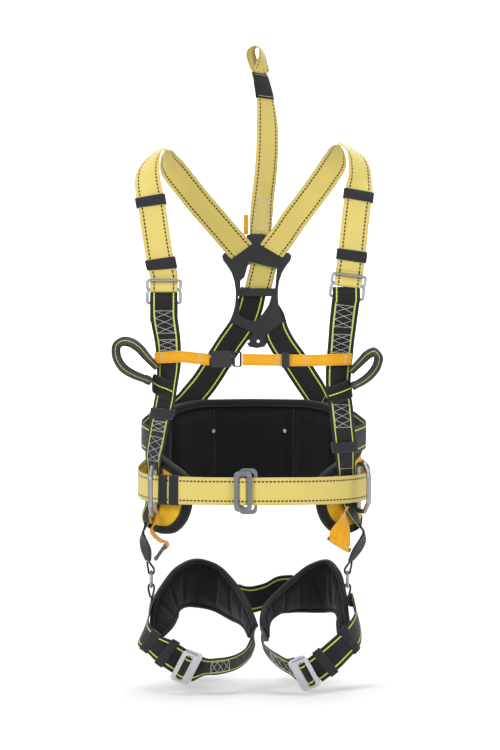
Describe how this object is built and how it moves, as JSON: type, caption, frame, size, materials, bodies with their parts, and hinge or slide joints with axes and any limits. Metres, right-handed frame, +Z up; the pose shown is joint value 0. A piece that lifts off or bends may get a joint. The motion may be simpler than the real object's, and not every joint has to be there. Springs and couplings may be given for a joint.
{
  "type": "full-body work-positioning harness",
  "caption": "Full-body safety harness: shoulder and chest webbing, padded waist belt with side rings, padded leg loops and a dorsal lifeline strap.",
  "frame": {"origin": "bottom centre of the whole harness's bounding box", "axes": "+Z up along the wearer, -Y the wearer's front (chest buckle side), +X to the right seen from the front"},
  "size_m": [0.4418, 0.294, 1.0829],
  "materials": {
    "webbing_yellow": "woven polyester, dark edge tracers",
    "webbing_black": "woven polyester, lime tracers",
    "webbing_orange": "woven polyester",
    "elastic_grey": "matt elastic",
    "pad_black": "spacer mesh",
    "pad_yellow": "coated cloth",
    "binding_black": "tape",
    "plastic_black": "moulded",
    "steel_satin": "satin",
    "steel_dark": "dark zinc"
  },
  "bodies": {
    "harness": {"dorsal_plate": "plastic_black", "shoulder_strap_left": "webbing_yellow", "shoulder_strap_right": "webbing_yellow", "front_strap_left": "webbing_black", "front_strap_right": "webbing_black", "back_strap_left": "webbing_black", "back_strap_right": "webbing_black", "chest_strap_left": "webbing_orange", "chest_strap_right": "webbing_orange", "chest_buckle_socket": "plastic_black", "chest_strap_slider": "plastic_black", "waist_pad_foam": "pad_black", "waist_pad_cover": "pad_yellow", "waist_pad_binding": "binding_black", "pad_rivets": "steel_satin", "waist_belt": "webbing_yellow", "waist_buckle_frame": "steel_dark"},
    "extension": {"extension_strap": "webbing_yellow", "extension_sleeve": "binding_black"},
    "adjuster_left": {"shoulder_adjuster_left": "steel_satin", "shoulder_roll_left": "webbing_yellow"},
    "keeper_upper_left": {"shoulder_keeper_upper_left": "elastic_grey"},
    "keeper_lower_left": {"shoulder_keeper_lower_left": "elastic_grey"},
    "front_keeper_left": {"front_strap_keeper_left": "elastic_grey"},
    "sternal_loop_left": {"sternal_loop_left": "webbing_black"},
    "d_ring_left": {"side_d_ring_left": "steel_satin"},
    "adjuster_right": {"shoulder_adjuster_right": "steel_satin", "shoulder_roll_right": "webbing_yellow"},
    "keeper_upper_right": {"shoulder_keeper_upper_right": "elastic_grey"},
    "keeper_lower_right": {"shoulder_keeper_lower_right": "elastic_grey"},
    "front_keeper_right": {"front_strap_keeper_right": "elastic_grey"},
    "sternal_loop_right": {"sternal_loop_right": "webbing_black"},
    "d_ring_right": {"side_d_ring_right": "steel_satin"},
    "tool_tab_left": {"tool_tab_left": "webbing_yellow", "tool_tab_bar_left": "steel_dark"},
    "tool_tab_right": {"tool_tab_right": "webbing_yellow", "tool_tab_bar_right": "steel_dark"},
    "chest_plug": {"chest_buckle_plug": "plastic_black", "chest_strap_middle": "webbing_orange"},
    "chest_prong_upper": {"chest_buckle_prong_upper": "plastic_black"},
    "chest_prong_lower": {"chest_buckle_prong_lower": "plastic_black"},
    "waist_tongue": {"waist_buckle_tongue": "steel_dark"},
    "waist_keeper_outer": {"waist_keeper_outer": "elastic_grey"},
    "waist_keeper_inner": {"waist_keeper_inner": "elastic_grey"},
    "hip_left": {"hip_hanger_left": "webbing_black"},
    "hip_right": {"hip_hanger_right": "webbing_black"},
    "legs": {"hip_ring_left": "steel_satin", "hip_ring_right": "steel_satin", "seat_strap": "webbing_black", "leg_pad_left": "pad_black", "leg_strap_left": "webbing_black", "leg_buckle_frame_left": "steel_satin", "leg_pad_right": "pad_black", "leg_strap_right": "webbing_black", "leg_buckle_frame_right": "steel_satin"},
    "leg_tongue_left": {"leg_buckle_tongue_left": "steel_satin"},
    "leg_keeper_left": {"leg_keeper_left": "elastic_grey"},
    "leg_tongue_right": {"leg_buckle_tongue_right": "steel_satin"},
    "leg_keeper_right": {"leg_keeper_right": "elastic_grey"}
  },
  "joints": [
    {"name": "extension_swing", "type": "hinge", "parent": "harness", "child": "extension", "pos_m": [0.02396, 0.11624, 0.74177], "axis": [-1, 0, 0], "range_deg": [0, 120]},
    {"name": "shoulder_adjuster_left_tilt", "type": "hinge", "parent": "harness", "child": "adjuster_left", "pos_m": [-0.13576, -0.10683, 0.63131], "axis": [1, 0, 0], "range_deg": [0, 16]},
    {"name": "shoulder_keeper_upper_left_slide", "type": "slide", "parent": "harness", "child": "keeper_upper_left", "axis": [-0.1547, 0.2628, 0.9524], "range_m": [-0.004, 0.004]},
    {"name": "shoulder_keeper_lower_left_slide", "type": "slide", "parent": "harness", "child": "keeper_lower_left", "axis": [-0.1287, -0.0042, 0.9917], "range_m": [-0.004, 0.004]},
    {"name": "front_keeper_left_slide", "type": "slide", "parent": "harness", "child": "front_keeper_left", "axis": [0.0002, -0.1051, 0.9945], "range_m": [-0.003, 0.003]},
    {"name": "sternal_loop_left_swing", "type": "hinge", "parent": "harness", "child": "sternal_loop_left", "pos_m": [-0.15421, -0.12656, 0.53459], "axis": [0, 0, 1], "range_deg": [0, 60]},
    {"name": "d_ring_left_swing", "type": "hinge", "parent": "harness", "child": "d_ring_left", "pos_m": [-0.15129, -0.06556, 0.3254], "axis": [0, 0, -1], "range_deg": [0, 70]},
    {"name": "shoulder_adjuster_right_tilt", "type": "hinge", "parent": "harness", "child": "adjuster_right", "pos_m": [0.16029, -0.1068, 0.63994], "axis": [0.9912, 0, -0.1322], "range_deg": [0, 16]},
    {"name": "shoulder_keeper_upper_right_slide", "type": "slide", "parent": "harness", "child": "keeper_upper_right", "axis": [0.1792, 0.2986, 0.9374], "range_m": [-0.004, 0.004]},
    {"name": "shoulder_keeper_lower_right_slide", "type": "slide", "parent": "harness", "child": "keeper_lower_right", "axis": [0.1484, 0.074, 0.9862], "range_m": [-0.004, 0.004]},
    {"name": "front_keeper_right_slide", "type": "slide", "parent": "harness", "child": "front_keeper_right", "axis": [0.1207, -0.2686, 0.9557], "range_m": [-0.003, 0.003]},
    {"name": "sternal_loop_right_swing", "type": "hinge", "parent": "harness", "child": "sternal_loop_right", "pos_m": [0.17523, -0.12656, 0.52813], "axis": [0, 0, -1], "range_deg": [0, 60]},
    {"name": "d_ring_right_swing", "type": "hinge", "parent": "harness", "child": "d_ring_right", "pos_m": [0.18201, -0.05436, 0.3299], "axis": [0, 0, 1], "range_deg": [0, 70]},
    {"name": "tool_tab_left_swing", "type": "hinge", "parent": "d_ring_left", "child": "tool_tab_left", "pos_m": [-0.15358, -0.0819, 0.2869], "axis": [-0.139, -0.9903, 0], "range_deg": [-14, 14]},
    {"name": "tool_tab_right_swing", "type": "hinge", "parent": "harness", "child": "tool_tab_right", "pos_m": [0.16291, -0.09276, 0.2999], "axis": [0, 1, 0], "range_deg": [-14, 14]},
    {"name": "chest_plug_slide", "type": "slide", "parent": "harness", "child": "chest_plug", "axis": [1, 0, 0], "range_m": [0, 0.025]},
    {"name": "chest_prong_upper_squeeze", "type": "hinge", "parent": "chest_plug", "child": "chest_prong_upper", "pos_m": [-0.02619, -0.12456, 0.5476], "axis": [0, -1, 0], "range_deg": [0, 6]},
    {"name": "chest_prong_lower_squeeze", "type": "hinge", "parent": "chest_plug", "child": "chest_prong_lower", "pos_m": [-0.02619, -0.12456, 0.5324], "axis": [0, 1, 0], "range_deg": [0, 6]},
    {"name": "waist_buckle_turn", "type": "hinge", "parent": "harness", "child": "waist_tongue", "pos_m": [0.00721, -0.13386, 0.3264], "axis": [0, 0, 1], "range_deg": [0, 30]},
    {"name": "waist_keeper_outer_slide", "type": "slide", "parent": "harness", "child": "waist_keeper_outer", "axis": [0.7907, -0.6115, -0.0279], "range_m": [-0.001, 0.003]},
    {"name": "waist_keeper_inner_slide", "type": "slide", "parent": "harness", "child": "waist_keeper_inner", "axis": [0.8559, -0.517, -0.0144], "range_m": [-0.002, 0.004]},
    {"name": "hip_left_swing", "type": "hinge", "parent": "harness", "child": "hip_left", "pos_m": [-0.17229, -0.04156, 0.2571], "axis": [1, 0, 0], "range_deg": [-12, 16]},
    {"name": "hip_right_swing", "type": "hinge", "parent": "harness", "child": "hip_right", "pos_m": [0.19181, -0.04256, 0.2571], "axis": [1, 0, 0], "range_deg": [-12, 16]},
    {"name": "legs_swing", "type": "hinge", "parent": "hip_left", "child": "legs", "pos_m": [-0.1599, -0.01556, 0.17553], "axis": [1, 0, 0], "range_deg": [-15, 20]},
    {"name": "leg_buckle_left_turn", "type": "hinge", "parent": "legs", "child": "leg_tongue_left", "pos_m": [-0.08937, -0.10984, 0.03564], "axis": [0.4191, -0.3461, 0.8394], "range_deg": [0, 20]},
    {"name": "leg_keeper_left_slide", "type": "slide", "parent": "legs", "child": "leg_keeper_left", "axis": [-0.7824, 0.142, 0.6064], "range_m": [-0.003, 0.002]},
    {"name": "leg_buckle_right_turn", "type": "hinge", "parent": "legs", "child": "leg_tongue_right", "pos_m": [0.083, -0.10975, 0.02489], "axis": [0.4362, 0.343, -0.8319], "range_deg": [0, 20]},
    {"name": "leg_keeper_right_slide", "type": "slide", "parent": "legs", "child": "leg_keeper_right", "axis": [0.7767, 0.0674, 0.6263], "range_m": [-0.003, 0.002]}
  ],
  "couplings": [
    {"joint": "hip_right_swing", "follows": "hip_left_swing", "ratio": 1},
    {"joint": "chest_prong_lower_squeeze", "follows": "chest_prong_upper_squeeze", "ratio": 1}
  ]
}
